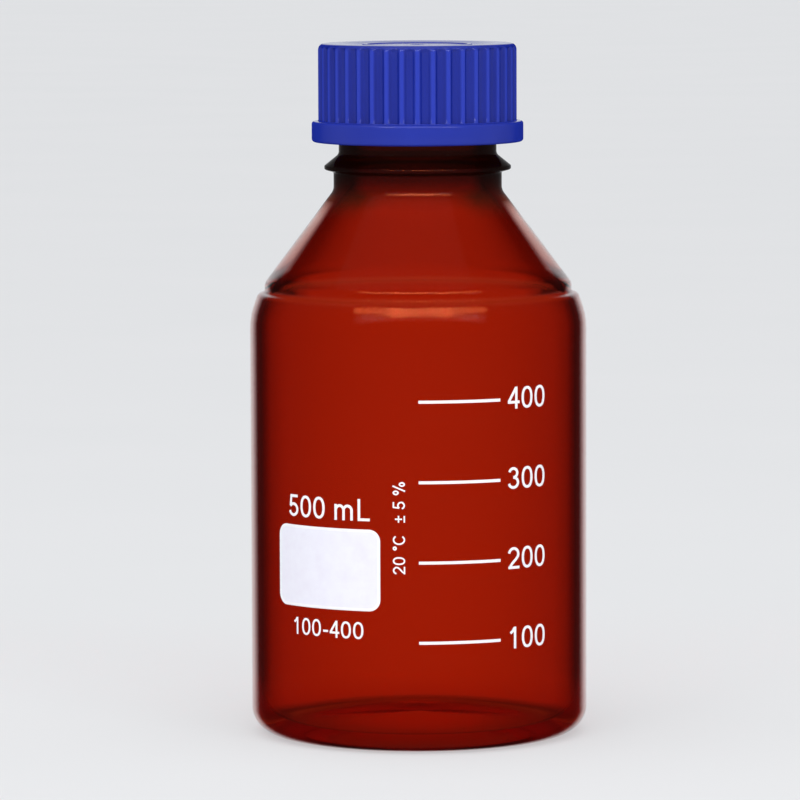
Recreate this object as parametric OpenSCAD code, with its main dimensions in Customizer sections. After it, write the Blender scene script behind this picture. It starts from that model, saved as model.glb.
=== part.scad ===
// Laboratory reagent bottle with a screw cap: a moulded glass bottle, a pouring ring clipped on
// its mouth, a ribbed screw cap with a faced sealing disc inside, and the enamel print on the glass.
// Millimetres. Z is the bottle's axis, and the bottle stands on Z = 0 with its print towards -Y.

/* [Body] */
// Outer diameter of the body
body_d = 86; // [70:0.5:110]
// Glass thickness of the straight side
side_wall = 3.1; // [2:0.1:5]
// Height of the glass, from the table to the rim of the mouth
bottle_h = 170.5; // [160:0.5:220]
// Height at which the straight side ends and the shoulder begins to round
side_h = 102.5; // [92:0.5:106]
// Glass thickness of the conical shoulder
cone_wall = 3.2; // [2:0.1:4.5]

/* [Base] */
// Radius of the heel, where the side turns under
heel_r = 8; // [5:0.5:10]
// Width of the flat ring that the bottle stands on
foot_w = 5; // [3:0.5:8]
// Height of the hollow under the base, at its centre
punt_h = 4; // [1:0.1:5]
// Glass thickness at the centre of the base
base_wall = 2.6; // [2:0.1:8]
// Inner radius between the side and the floor of the bottle
inner_heel_r = 7; // [4:0.5:9]

/* [Shoulder] */
// Radius of the round that leads from the side into the shoulder
shoulder_r = 24; // [15:1:30]
// Height of that round, measured to where its tangents cross
shoulder_rise = 4.1; // [2:0.1:6]
// Height from there up to the knuckle below the crease
knuckle_rise = 5.8; // [4:0.1:8]
// How far the knuckle lies inside the body's side
knuckle_in = 2.05; // [1:0.05:3]
// Radius of the knuckle
knuckle_r = 3; // [1:0.1:4]
// How far the crease lies inside the body's side
crease_in = 3.8; // [3.3:0.1:5]
// Height of the upright step between the crease and the cone
step_h = 2.2; // [1:0.1:4]

/* [Neck] */
// Glass thickness of the neck, at the root of its thread
neck_wall = 4.8; // [3.5:0.1:6]
// How far the transfer bead below the thread stands out of the neck
bead_out = 3.7; // [2.5:0.1:5.5]
// Distance from the rim of the mouth down to the widest part of the bead
bead_drop = 25.5; // [24:0.1:28]
// Height of the cone from the neck out to the bead
bead_flare = 3; // [2:0.1:4]
// How much thicker than the threaded neck the glass is below the bead
collar_out = 1.35; // [0.5:0.05:2.2]
// Length of the neck below the bead
collar_h = 4.6; // [3:0.1:7]

/* [Thread] */
// Diameter over the crests of the neck's thread
thread_d = 44.5; // [43:0.1:45]
// Height of a thread's ridge on the neck
thread_depth = 2.15; // [1.8:0.05:2.6]
// Height gained in one turn
thread_pitch = 4; // [3.6:0.1:4.5]
// Turns of thread on the neck
neck_turns = 2; // [1.5:0.25:2.25]
// Turns of thread inside the cap
cap_turns = 1.5; // [1:0.25:1.75]
// Distance from the rim of the mouth down to the middle of the neck's thread
thread_drop = 10.2; // [9.5:0.1:11]
// Width of a thread ridge at its root
ridge_root_w = 2; // [1.6:0.1:2.2]
// Width of a thread ridge at its crest
ridge_crest_w = 1; // [0.6:0.1:1.2]

/* [Pouring ring] */
// Thickness of the ring above the rim of the glass
ring_top = 1.3; // [1:0.1:2]
// Thickness of the ring's skirt, outside the lip
ring_wall = 1.1; // [0.8:0.1:1.3]
// Length of the skirt below the rim of the glass
ring_skirt = 3.1; // [2.5:0.1:3.4]
// Depth of the groove in the lip that the skirt snaps into
clip_depth = 0.4; // [0.2:0.05:0.6]
// Height of that groove
clip_h = 0.8; // [0.5:0.1:1.2]

/* [Seal] */
// Thickness of the silicone disc
disc_t = 2; // [1.5:0.1:3]
// Thickness of the disc's smooth facing
facing_t = 0.3; // [0.2:0.05:0.5]
// Width of the bead in the cap that keeps the disc in
keeper_w = 0.9; // [0.7:0.1:1]
// Height of that bead
keeper_h = 0.8; // [0.6:0.1:1]

/* [Cap] */
// Height of the cap
cap_h = 25; // [24:0.1:26]
// Thickness of the cap's side, over the ribs
cap_wall = 2.5; // [2:0.1:3.5]
// Thickness of the cap's top
cap_top = 2; // [1.5:0.1:3]
// How far the band around the foot of the cap stands out of the ribs
band_out = 1.7; // [1:0.1:3.5]
// Height of that band
band_h = 5.3; // [3:0.1:8]
// Radius of the cap's top edge
cap_edge_r = 1.6; // [1:0.1:2]
// Number of ribs
ribs = 40; // [20:1:60]
// Depth of the grooves between the ribs
groove_depth = 0.8; // [0.4:0.05:1]
// Width of a groove at the outside
groove_w = 1.3; // [0.8:0.05:1.6]
// Width of the rim around the shallow recess in the top
recess_rim = 5.25; // [3:0.25:10]
// Depth of that recess
recess_depth = 0.4; // [0.2:0.05:0.7]

/* [Print] */
// Thickness of the enamel
enamel_t = 0.08; // [0.05:0.01:0.2]
// Height of the lowest line of the scale above the table
scale_z = 28.2; // [20:0.1:32]
// Distance from one line to the next
scale_step = 20.1; // [16:0.1:22]
// Number of lines on the scale
scale_lines = 4; // [1:1:4]
// Length of a line, measured round the glass
scale_line_w = 21.2; // [10:0.1:30]
// Thickness of a line
scale_line_t = 0.75; // [0.5:0.05:1.5]
// Width of the writing panel, measured round the glass
panel_w = 31.1; // [20:0.1:40]
// Height of the writing panel
panel_h = 20.5; // [10:0.1:30]
// Height of the panel's lower edge above the table
panel_z = 36; // [20:0.1:50]
// Radius of the panel's corners
panel_corner_r = 2.9; // [0.5:0.1:5]
// Distance round the glass from the front to the middle of the panel
panel_offset = 25.25; // [20:0.05:40]

/* [Clearances] */
// Radial gap between the thread's crests and the cap's wall
crest_gap = 0.5; // [0.3:0.05:0.6]
// Radial gap between the cap's thread and the neck
root_gap = 0.55; // [0.3:0.05:0.7]
// Gap around the sealing disc
disc_gap = 0.35; // [0.2:0.05:0.5]
// Gap between the pouring ring and the lip of the glass
ring_gap = 0.05; // [0.02:0.01:0.15]
// Gap between the disc's facing and the bead that keeps the disc in
keeper_gap = 0.15; // [0.05:0.05:0.3]

/* [Hidden] */
$fn = 96;
// Degrees in one step along a round corner or a thread
arc_step = 9;
thread_step = 7.5;
// How far one shape is carried into another before they are joined or cut
bite = 0.3;
// Degrees over which a thread ridge rises at its ends, and its height where it starts
run_in = 30;
ridge_start = 0.05;

body_r = body_d / 2;
inner_r = body_r - side_wall;
crest_r = thread_d / 2;
neck_r = crest_r - thread_depth;
bore_r = neck_r - neck_wall;
bead_r = neck_r + bead_out;
collar_r = neck_r + collar_out;

// Base: the foot ring, the hollow inside it and the floor above
foot_outer_r = body_r - heel_r;
foot_inner_r = foot_outer_r - foot_w;
punt_round = 3;
floor_z = punt_h + base_wall;
floor_drop = 3.4;

// Shoulder: heights of its corners, from the side upwards
shoulder_z = side_h + shoulder_rise;
knuckle_z = shoulder_z + knuckle_rise;
crease_rise = 0.6;
crease_z = knuckle_z + crease_rise;
crease_r = body_r - crease_in;
cone_z = crease_z + step_h;
crease_round = 0.5;
step_round = 2.5;

// Neck: heights of its corners, measured down from the rim of the mouth
bead_z = bottle_h - bead_drop;
bead_edge_h = 0.9;
bead_under_h = 0.7;
collar_z = bead_z - bead_edge_h - bead_under_h - collar_h;
collar_round = 3;
lip_r = neck_r - ring_wall;
lip_z = bottle_h - ring_skirt;
lip_edge_r = 0.8;
rim_edge_r = 1.5;

// Inside of the cone: the outer cone moved in by its wall
cone_len = norm([crease_r - collar_r, collar_z - cone_z]);
cone_in = cone_wall * [(collar_z - cone_z) / cone_len, (crease_r - collar_r) / cone_len];
cone_slope = (collar_z - cone_z) / (crease_r - collar_r);
inner_cone_z = cone_z - cone_in[1] - (inner_r - crease_r + cone_in[0]) * cone_slope;
inner_collar_z = collar_z - cone_in[1] + (collar_r - cone_in[0] - bore_r) * cone_slope;
inner_shoulder_r = 11;
inner_collar_r = 6;

// Ring, seal and cap stack up from the rim of the mouth
ring_z = bottle_h + ring_top;
facing_z = ring_z;
disc_z = facing_z + facing_t;
cap_under_z = disc_z + disc_t;
cap_top_z = cap_under_z + cap_top;
cap_z = cap_top_z - cap_h;
cap_bore_r = crest_r + crest_gap;
disc_r = cap_bore_r - disc_gap;
keeper_z = facing_z - keeper_gap - keeper_h;
cap_r = cap_bore_r + cap_wall;
band_r = cap_r + band_out;
recess_r = cap_r - recess_rim;
band_edge_r = 0.8;
mouth_chamfer = 0.8;

// Threads: the neck's ridge is centred below the rim, and the cap's runs in its gaps
neck_thread_z = bottle_h - thread_drop - neck_turns * thread_pitch / 2;
cap_thread_z = bottle_h - thread_drop - cap_turns * thread_pitch / 2;
cap_thread_r = neck_r + root_gap;
// Turning the cap's ridge by this angle puts it half a pitch away from the neck's
cap_thread_turn = 360 * (cap_thread_z - neck_thread_z) / thread_pitch + 180;

// Print: one millimetre round the glass in degrees
deg_per_mm = 180 / (PI * body_r);

glass_colour = [0.58, 0.11, 0.03, 0.6];
cap_colour = [0.14, 0.22, 0.67];
ring_colour = [0.16, 0.25, 0.70];
silicone_colour = [0.90, 0.89, 0.86];
facing_colour = [0.97, 0.97, 0.95];
enamel_colour = [0.95, 0.95, 0.97];

// Piece to draw, or all of them

// Corner p with its neighbours a and b, rounded to radius r, as points along the arc
function corner(a, p, b, r) =
    let (
        u = (a - p) / norm(a - p),
        v = (b - p) / norm(b - p),
        half = acos(max(-1, min(1, u * v))) / 2,
        reach = min(r / tan(half), norm(a - p) * 0.49, norm(b - p) * 0.49),
        radius = reach * tan(half),
        centre = p + (u + v) / norm(u + v) * radius / sin(half),
        sweep = 180 - 2 * half,
        steps = max(1, ceil(sweep / arc_step)),
        from = p + u * reach - centre,
        side = cross([u[0], u[1]], [v[0], v[1]]) > 0 ? -1 : 1
    )
    [for (i = [0 : steps])
        let (t = side * sweep * i / steps)
        centre + [from[0] * cos(t) - from[1] * sin(t), from[0] * sin(t) + from[1] * cos(t)]];

// Closed outline of points [x, y, radius], where a radius of 0 keeps the corner sharp
function rounded(pts) =
    let (n = len(pts), flat = [for (p = pts) [p[0], p[1]]])
    [for (i = [0 : n - 1])
        each pts[i][2] > 0
            ? corner(flat[(i + n - 1) % n], flat[i], flat[(i + 1) % n], pts[i][2])
            : [flat[i]]];

// Ridge of a screw thread: root and crest radius, first height and number of turns.
// Its root is carried by `bite` into the wall that holds it.
module thread_ridge(root_r, crest_r, z0, turns) {
    sense = crest_r > root_r ? 1 : -1;
    steps = ceil(turns * 360 / thread_step);
    // Height of the ridge at step i, as a share of its full height
    function rise(i) = min(1, i / steps * turns * 360 / run_in, (steps - i) / steps * turns * 360 / run_in);
    function section(i) =
        let (
            a = 360 * turns * i / steps,
            z = z0 + turns * thread_pitch * i / steps,
            top = root_r + (crest_r - root_r) * rise(i) + sense * ridge_start,
            low = root_r - sense * bite,
            wide = ridge_root_w / 2,
            slim = wide + (ridge_crest_w / 2 - wide) * rise(i)
        )
        [for (q = [[low, -wide], [top, -slim], [top, slim], [low, wide]])
            [q[0] * cos(a), q[0] * sin(a), z + q[1]]];
    sides = 4;
    points = [for (i = [0 : steps]) each section(i)];
    skin = [for (i = [0 : steps - 1], j = [0 : sides - 1])
        let (a = i * sides + j, b = i * sides + (j + 1) % sides)
        each [[a, b, b + sides], [a, b + sides, a + sides]]];
    start = [[for (j = [sides - 1 : -1 : 0]) j]];
    finish = [[for (j = [0 : sides - 1]) steps * sides + j]];
    faces = concat(skin, start, finish);
    polyhedron(points, sense > 0 ? faces : [for (f = faces) [for (k = [len(f) - 1 : -1 : 0]) f[k]]]);
}

// Half section of the glass, up the outside and back down the inside
module bottle_section() {
    polygon(rounded([
        [0, punt_h, 0],
        [foot_inner_r, 0, punt_round],
        [body_r, 0, heel_r],
        [body_r, shoulder_z, shoulder_r],
        [body_r - knuckle_in, knuckle_z, knuckle_r],
        [crease_r, crease_z, crease_round],
        [crease_r, cone_z, step_round],
        [collar_r, collar_z, collar_round],
        [collar_r, bead_z - bead_edge_h - bead_under_h, bead_under_h],
        [bead_r, bead_z - bead_edge_h, bead_edge_h / 2],
        [bead_r, bead_z, bead_edge_h / 2],
        [neck_r, bead_z + bead_flare, rim_edge_r],
        [neck_r, lip_z, 0],
        [lip_r - clip_depth, lip_z, 0],
        [lip_r - clip_depth, lip_z + clip_h, 0],
        [lip_r, lip_z + clip_h, 0],
        [lip_r, bottle_h, lip_edge_r],
        [bore_r, bottle_h, rim_edge_r],
        [bore_r, inner_collar_z, inner_collar_r],
        [inner_r, inner_cone_z, inner_shoulder_r],
        [inner_r, floor_z - floor_drop, inner_heel_r],
        [0, floor_z, 0]
    ]));
}

module bottle() {
    color(glass_colour)
    union() {
        rotate_extrude() bottle_section();
        thread_ridge(neck_r, crest_r, neck_thread_z, neck_turns);
    }
}

// Ring that snaps over the lip and gives a clean pouring edge
module pouring_ring() {
    color(ring_colour)
    rotate_extrude()
        polygon([
            [bore_r, bottle_h],
            [lip_r + ring_gap, bottle_h],
            [lip_r + ring_gap, lip_z + clip_h],
            [lip_r + ring_gap - clip_depth, lip_z + clip_h - ring_gap],
            [lip_r + ring_gap - clip_depth, lip_z + clip_h / 2],
            [lip_r + ring_gap, lip_z + ring_gap],
            [neck_r, lip_z + ring_gap],
            [neck_r, bottle_h + ring_top / 2],
            [neck_r - ring_top / 2, ring_z],
            [bore_r + ring_top / 2, ring_z],
            [bore_r, bottle_h + ring_top / 2]
        ]);
}

// Outside of the cap as a half section, closed on the axis
module cap_section() {
    polygon(rounded([
        [0, cap_z, 0],
        [band_r, cap_z, band_edge_r],
        [band_r, cap_z + band_h, band_edge_r],
        [cap_r, cap_z + band_h, 0],
        [cap_r, cap_top_z, cap_edge_r],
        [recess_r, cap_top_z, 0],
        [recess_r, cap_top_z - recess_depth, 0],
        [0, cap_top_z - recess_depth, 0]
    ]));
}

// Inside of the cap: the threaded bore, the bead that keeps the disc and the disc's seat
module cap_hollow() {
    polygon([
        [0, cap_z - bite],
        [cap_bore_r + mouth_chamfer + bite, cap_z - bite],
        [cap_bore_r, cap_z + mouth_chamfer],
        [cap_bore_r, keeper_z - keeper_w / 2],
        [cap_bore_r - keeper_w, keeper_z],
        [cap_bore_r - keeper_w, keeper_z + keeper_h],
        [cap_bore_r, keeper_z + keeper_h],
        [cap_bore_r, cap_under_z],
        [0, cap_under_z]
    ]);
}

// One groove between two ribs, seen from above
module groove() {
    polygon([
        [cap_r - groove_depth, -groove_w / 4],
        [cap_r + bite, -groove_w / 2 - bite / 4],
        [cap_r + bite, groove_w / 2 + bite / 4],
        [cap_r - groove_depth, groove_w / 4]
    ]);
}

module screw_cap() {
    color(cap_colour)
    union() {
        difference() {
            rotate_extrude() cap_section();
            rotate_extrude() cap_hollow();
            translate([0, 0, cap_z + band_h])
                linear_extrude(cap_h)
                for (i = [0 : ribs - 1])
                    rotate((i + 0.5) * 360 / ribs) groove();
        }
        rotate(cap_thread_turn)
            thread_ridge(cap_bore_r, cap_thread_r, cap_thread_z, cap_turns);
    }
}

module sealing_disc() {
    color(silicone_colour)
    translate([0, 0, disc_z])
        cylinder(h = disc_t, r = disc_r);
}

module disc_facing() {
    color(facing_colour)
    translate([0, 0, facing_z])
        cylinder(h = facing_t, r = disc_r);
}

// Layer of enamel on the glass, of the shape drawn below it as seen from the front,
// around the direction `turn` degrees to the right of the front
module enamel(turn) {
    color(enamel_colour)
    rotate(turn)
    intersection() {
        difference() {
            cylinder(h = side_h, r = body_r + enamel_t);
            translate([0, 0, -bite]) cylinder(h = side_h + 2 * bite, r = body_r);
        }
        rotate([90, 0, 0]) linear_extrude(body_d) children();
    }
}

// Half the chord of an arc of the glass
function half_chord(arc) = body_r * sin(arc * deg_per_mm / 2);

module writing_panel() {
    half_w = half_chord(panel_w);
    enamel(-panel_offset * deg_per_mm)
        polygon(rounded([
            [-half_w, panel_z, panel_corner_r],
            [half_w, panel_z, panel_corner_r],
            [half_w, panel_z + panel_h, panel_corner_r],
            [-half_w, panel_z + panel_h, panel_corner_r]
        ]));
}

module scale_lines_print() {
    half_w = half_chord(scale_line_w);
    enamel(scale_line_w / 2 * deg_per_mm)
        for (i = [0 : scale_lines - 1])
            translate([-half_w, scale_z + i * scale_step - scale_line_t / 2])
                square([2 * half_w, scale_line_t]);
}

bottle();
pouring_ring();
screw_cap();
sealing_disc();
disc_facing();
writing_panel();
scale_lines_print();
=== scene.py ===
import math

import bmesh
import bpy
from mathutils import Matrix, Vector


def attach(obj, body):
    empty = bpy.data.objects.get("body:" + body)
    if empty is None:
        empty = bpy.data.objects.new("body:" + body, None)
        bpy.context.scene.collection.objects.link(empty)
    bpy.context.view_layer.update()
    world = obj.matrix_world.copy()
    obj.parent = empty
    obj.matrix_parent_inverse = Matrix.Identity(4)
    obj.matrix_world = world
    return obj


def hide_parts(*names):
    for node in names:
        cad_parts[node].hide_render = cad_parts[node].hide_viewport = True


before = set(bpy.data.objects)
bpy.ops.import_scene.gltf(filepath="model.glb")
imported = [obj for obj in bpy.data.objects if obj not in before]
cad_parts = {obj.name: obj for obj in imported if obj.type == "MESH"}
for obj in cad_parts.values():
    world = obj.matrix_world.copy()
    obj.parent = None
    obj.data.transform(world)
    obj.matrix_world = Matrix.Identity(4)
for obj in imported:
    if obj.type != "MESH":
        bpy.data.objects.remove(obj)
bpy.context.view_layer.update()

# Looks of a laboratory reagent bottle: an amber glass bottle with its enamel print, a pouring
# ring, a sealing disc with its facing, and a ribbed screw cap. Shapes are worked out in
# millimetres and turned into metres as each mesh is made. They have the values of the CAD part,
# apart from narrower ribs, a rounder crease, a finer top of the cap and more rounded edges.

MM = 0.001
TAU = 2 * math.pi
FRONT = -math.pi / 2  # the print faces -Y

# Body, base and shoulder
BODY_R = 43.0
SIDE_WALL = 3.1
BOTTLE_H = 170.5
CONE_WALL = 3.2
HEEL_R = 8.0
FOOT_W = 5.0
PUNT_H = 4.0
PUNT_ROUND = 3.0
BASE_WALL = 2.6
FLOOR_DROP = 3.4
INNER_HEEL_R = 7.0
SHOULDER_Z = 106.6
SHOULDER_R = 24.0
INNER_SHOULDER_R = 11.0
KNUCKLE_Z = 112.4
KNUCKLE_IN = 2.05
KNUCKLE_R = 3.0
CREASE_Z = 113.0
CREASE_IN = 3.8
CREASE_ROUND = 0.8
CONE_Z = 115.2
STEP_ROUND = 2.5

# Neck and its thread, down from the rim of the mouth
THREAD_R = 22.25
THREAD_DEPTH = 2.15
THREAD_PITCH = 4.0
NECK_TURNS = 2.0
CAP_TURNS = 1.5
THREAD_DROP = 10.2
RIDGE_ROOT_W = 2.0
RIDGE_CREST_W = 1.0
RUN_IN = math.radians(30)
NECK_WALL = 4.8
BEAD_OUT = 3.7
BEAD_DROP = 25.5
BEAD_FLARE = 3.0
BEAD_EDGE_H = 0.9
BEAD_UNDER_H = 0.7
COLLAR_OUT = 1.35
COLLAR_H = 4.6
COLLAR_ROUND = 3.0
INNER_COLLAR_R = 6.0
RING_WALL = 1.1
RING_SKIRT = 3.1
LIP_EDGE_R = 0.8
RIM_EDGE_R = 1.5
CLIP_DEPTH = 0.4
CLIP_H = 0.8
NECK_R = THREAD_R - THREAD_DEPTH
BORE_R = NECK_R - NECK_WALL
BEAD_R = NECK_R + BEAD_OUT
BEAD_Z = BOTTLE_H - BEAD_DROP
COLLAR_R = NECK_R + COLLAR_OUT
COLLAR_Z = BEAD_Z - BEAD_EDGE_H - BEAD_UNDER_H - COLLAR_H
LIP_R = NECK_R - RING_WALL
LIP_Z = BOTTLE_H - RING_SKIRT

# Pouring ring, seal and cap, stacked up from the rim of the mouth
RING_TOP = 1.3
RING_GAP = 0.05
FACING_T = 0.3
DISC_T = 2.0
DISC_GAP = 0.35
CREST_GAP = 0.5
ROOT_GAP = 0.55
CAP_WALL = 2.5
CAP_TOP = 2.0
CAP_H = 25.0
CAP_EDGE_R = 1.6
KEEPER_W = 0.9
KEEPER_H = 0.8
KEEPER_GAP = 0.15
MOUTH_CHAMFER = 0.8
BAND_OUT = 1.7
BAND_H = 5.3
BAND_EDGE_R = 0.8
RING_Z = BOTTLE_H + RING_TOP
DISC_Z = RING_Z + FACING_T
CAP_UNDER_Z = DISC_Z + DISC_T
CAP_TOP_Z = CAP_UNDER_Z + CAP_TOP
CAP_Z = CAP_TOP_Z - CAP_H
CAP_BORE_R = THREAD_R + CREST_GAP
CAP_R = CAP_BORE_R + CAP_WALL
CAP_THREAD_R = NECK_R + ROOT_GAP
DISC_R = CAP_BORE_R - DISC_GAP
KEEPER_Z = RING_Z - KEEPER_GAP - KEEPER_H
BAND_R = CAP_R + BAND_OUT

# Top of the cap: a shallow recess with a raised ring in it and a gate mark in the middle
RECESS_RIM = 5.25
RECESS_DEPTH = 0.4
RECESS_EASE = 2.5
TOP_RING_R = 14.0
TOP_RING_W = 1.4
TOP_RING_H = 0.22
TOP_RING_SLOPE = 0.2
GATE_R = 1.9
GATE_DEPTH = 0.25
GATE_SLOPE = 0.5
RECESS_R = CAP_R - RECESS_RIM

# Ribs of the cap and the grooves between them: the plain strip under a groove, how far below the
# top it ends and over what height, and the shares of its half width that are flat and flank
RIBS = 40
RIB_W = 1.25
GROOVE_DEPTH = 0.8
GROOVE_FOOT = 0.2
GROOVE_END = CAP_EDGE_R * 0.3
GROOVE_RUN_OUT = 1.0
GROOVE_FLAT = 0.4
GROOVE_FLANK = 0.8

# Small edges of the plastic pieces
CRISP_EDGE_R = 0.1
NEAT_EDGE_R = 0.2
EASED_EDGE_R = 0.25
BORE_EDGE_R = 0.3
TOP_RING_EDGE_R = 0.15
RING_TOP_EDGE_R = 0.4
RING_SIDE_EDGE_R = 0.5
DISC_EDGE_R = 0.25
FACING_EDGE_R = 0.08

# Print: its thickness, the gap under it, the share of its thickness that its lowest stroke has,
# and how much higher each of the next strokes lies
ENAMEL_T = 0.08
ENAMEL_GAP = 0.008
ENAMEL_LOW = 0.6
STROKE_STEP = 0.004
STROKE_LEVELS = 6

# Most that a sharp bend may widen a stroke
MITRE_LIMIT = 2.0

# Places on the flat print: millimetres to the right of the front, and heights
SCALE_Z = 28.2
SCALE_STEP = 20.1
SCALE_LINES = 4
SCALE_LINE_W = 21.2
SCALE_LINE_T = 0.75
PANEL_W = 31.1
PANEL_H = 20.5
PANEL_Z = 36.0
PANEL_CORNER_R = 2.9
PANEL_MIDDLE = -25.25
PANEL_EDGE_W = 0.75
PANEL_INSET = 0.7
FIGURE_H = 5.5
FIGURE_LEFT = 23.3
FIGURE_RISE = 0.35
VOLUME_PLACE = (-36.9, 58.6)
RANGE_H = 4.3
RANGE_PLACE = (-35.6, 28.9)
CAPTION_H = 3.1
CAPTION_PLACE = (-3.4, 45.4)

# How fine the meshes are: the turn between two points of an arc, millimetres between rows, how
# far the crease's fine rows reach below the knuckle and inwards, and columns round the axis
ARC_STEP = math.radians(7)
PLASTIC_ARC_STEP = math.radians(15)
PANEL_ARC_STEP = math.radians(9)
THREAD_SPACING = 0.25
CREASE_SPACING = 0.3
CAP_THREAD_SPACING = 0.5
GROOVE_SPACING = 1.8
GLASS_SPACING = 3.0
CREASE_MARGIN = 1.2
CREASE_REACH = 5.0
PLASTIC_SPACING = 4.0
PANEL_EDGE_SPACING = 1.2
SCALE_LINE_PARTS = 20
PANEL_COLUMNS = 24
PANEL_CORNER_STEPS = 8
GLASS_COLUMNS = 180
RING_COLUMNS = 144
DISC_COLUMNS = 128

# Two lengths closer than this count as one
SAME = 0.01

# Most of a side that the arc of one corner may take
CORNER_SHARE = 0.49

# Edges sharper than this many degrees aren't shaded smooth
SHARP_EDGE = 40
PRINT_SHARP_EDGE = 50

# The stain: the ledge under the cone lacks a share of it, which paints a highlight there. The ledge
# is told by how far it lies inside the body's radius, above the crease and below the knuckle, and it
# fades over a length
LEDGE_HIGHLIGHT = 0.04
LEDGE_IN = 1.6
LEDGE_ABOVE = 0.3
LEDGE_BELOW = 1.0
LEDGE_FADE = 0.8

# How much of the painted shade on glass seen edge on is left: on the ledge, and on the heel with
# the fade above it. Below a height it also fades in from the foot to the outside
LEDGE_EDGE_SHADE = 0.15
HEEL_EDGE_SHADE = 0.7
HEEL_FADE = 6.0
FOOT_Z = PUNT_H + 1
FOOT_FADE = 3.0

# The glass: shares of its height over which the cone and the neck begin, how much wider the
# painted dark edge shows on the cone, and an index of refraction far below the real one. The ramps
# below paint the dark edges that real bending makes, and a pale reflection at the very edge; the
# far side shows undistorted.
CONE_FROM = (0.68, 0.70)
NECK_FROM = (0.775, 0.80)
CONE_LEAN = 1.17
GLASS_IOR = 1.02
GLASS_TINT = (0.95, 0.80, 0.73)
GLASS_DENSITY = 300.0
# Colour of the painted pale reflection at the glass's very edge
PAINTED_FRINGE_COLOUR = (0.92, 0.80, 0.82)

# Paler colour of the cap: its share on the band, and how deep the painted highlight reaches below
# the crests of the ribs
BAND_PALE = 0.35
HIGHLIGHT_DEPTH = 0.15

# A hair of air under the bottle, so that its foot and the floor never share a surface
FLOOR_GAP = 0.2

# Share of the floor that shows at its own brightness, whatever shadow falls on it
FLOOR_GLOW = 0.6

# Floor, lamps and camera: lengths in metres, the lamps' angles in degrees, and the camera's lens
# in millimetres and its turns in radians
FLOOR_REACH = 14.0
FLOOR_TILES = 8
AMBIENT = 0.5
AMBIENT_COLOUR = (0.93, 0.96, 1.0)
SKY_POWER = 1.1
SKY_SPREAD = 70
SKY_TILT = (14, -8, 0)
LAMP_DISTANCE = 1.5
LAMP_AIM = Vector((0, 0, 0.1))
EMBER_ELEVATION = 39
EMBER_H = 0.40
EMBER_COLOUR = (1.0, 0.24, 0.09)
CAMERA_PLACE = (0, -1.3833, 0.2183)
CAMERA_LENS = 244.43
CAMERA_PITCH = 0.09612
CAMERA_YAW = -0.0034
CAMERA_ROLL = -0.0035


def srgb(red, green, blue):
    """A display colour from 0 to 255 as linear light, with an alpha of 1."""
    linear = []
    for value in (red, green, blue):
        share = value / 255
        linear.append(share / 12.92 if share <= 0.04045 else ((share + 0.055) / 1.055) ** 2.4)
    return (*linear, 1.0)


def opaque(colour):
    """Linear colour with an alpha of 1, from a grey level, from three values or from four."""
    if isinstance(colour, (int, float)):
        colour = (colour, colour, colour)
    return (*colour[:3], 1.0)


def smooth(share):
    """0 to 1 with a soft start and end, for a share that may lie outside them."""
    share = max(0.0, min(1.0, share))
    return share * share * (3 - 2 * share)


# ---------------------------------------------------------------- outlines and solids

def corner(before, point, after, radius, step):
    """Corner of an outline rounded to a radius, as points along the arc."""
    u = (before - point).normalized()
    v = (after - point).normalized()
    half = math.acos(max(-1.0, min(1.0, u.dot(v)))) / 2
    shorter = min((before - point).length, (after - point).length)
    reach = min(radius / math.tan(half), CORNER_SHARE * shorter)
    radius = reach * math.tan(half)
    centre = point + (u + v).normalized() * radius / math.sin(half)
    sweep = math.pi - 2 * half
    steps = max(2, math.ceil(sweep / step))
    arm = point + u * reach - centre
    side = -1 if u.x * v.y - u.y * v.x > 0 else 1
    return [centre + Matrix.Rotation(side * sweep * i / steps, 2) @ arm for i in range(steps + 1)]


def rounded(points, step=ARC_STEP):
    """Outline of (radius, height, corner radius) as flat points with its corners rounded."""
    flat = [Vector(p[:2]) for p in points]
    made = []
    for i, p in enumerate(points):
        if p[2] > 0:
            made += corner(flat[i - 1], flat[i], flat[(i + 1) % len(flat)], p[2], step)
        else:
            made.append(flat[i])
    return made


def dense(outline, spacing):
    """The same outline with points added, so that they lie at most spacing(point) apart."""
    made = [outline[0]]
    for a, b in zip(outline, outline[1:]):
        parts = max(1, math.ceil((b - a).length / spacing((a + b) / 2)))
        made += [a.lerp(b, i / parts) for i in range(1, parts + 1)]
    return made


def ridge(angle, height, start, turns):
    """Share of its full height that a thread ridge has at an angle and height."""
    best = 0.0
    for lap in range(math.ceil(turns) + 1):
        turned = angle % TAU + lap * TAU
        if turned > turns * TAU:
            break
        rise = smooth(min(turned, turns * TAU - turned) / RUN_IN)
        away = abs(height - start - THREAD_PITCH * turned / TAU)
        flank = (RIDGE_ROOT_W / 2 - away) / (RIDGE_ROOT_W / 2 - RIDGE_CREST_W / 2)
        best = max(best, rise * smooth(flank))
    return best


def even(columns):
    """Angles of evenly spaced columns round an axis."""
    return [TAU * i / columns for i in range(columns)]


def new_object(name, verts, faces, sharp=SHARP_EDGE):
    """Object of a mesh in millimetres, shaded smooth up to an angle."""
    mesh = bpy.data.meshes.new(name)
    mesh.from_pydata([(x * MM, y * MM, z * MM) for x, y, z in verts], [], faces)
    mesh.validate()
    mesh.shade_smooth()
    mesh.set_sharp_from_angle(angle=math.radians(sharp))
    obj = bpy.data.objects.new(name, mesh)
    bpy.context.scene.collection.objects.link(obj)
    return obj


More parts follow.
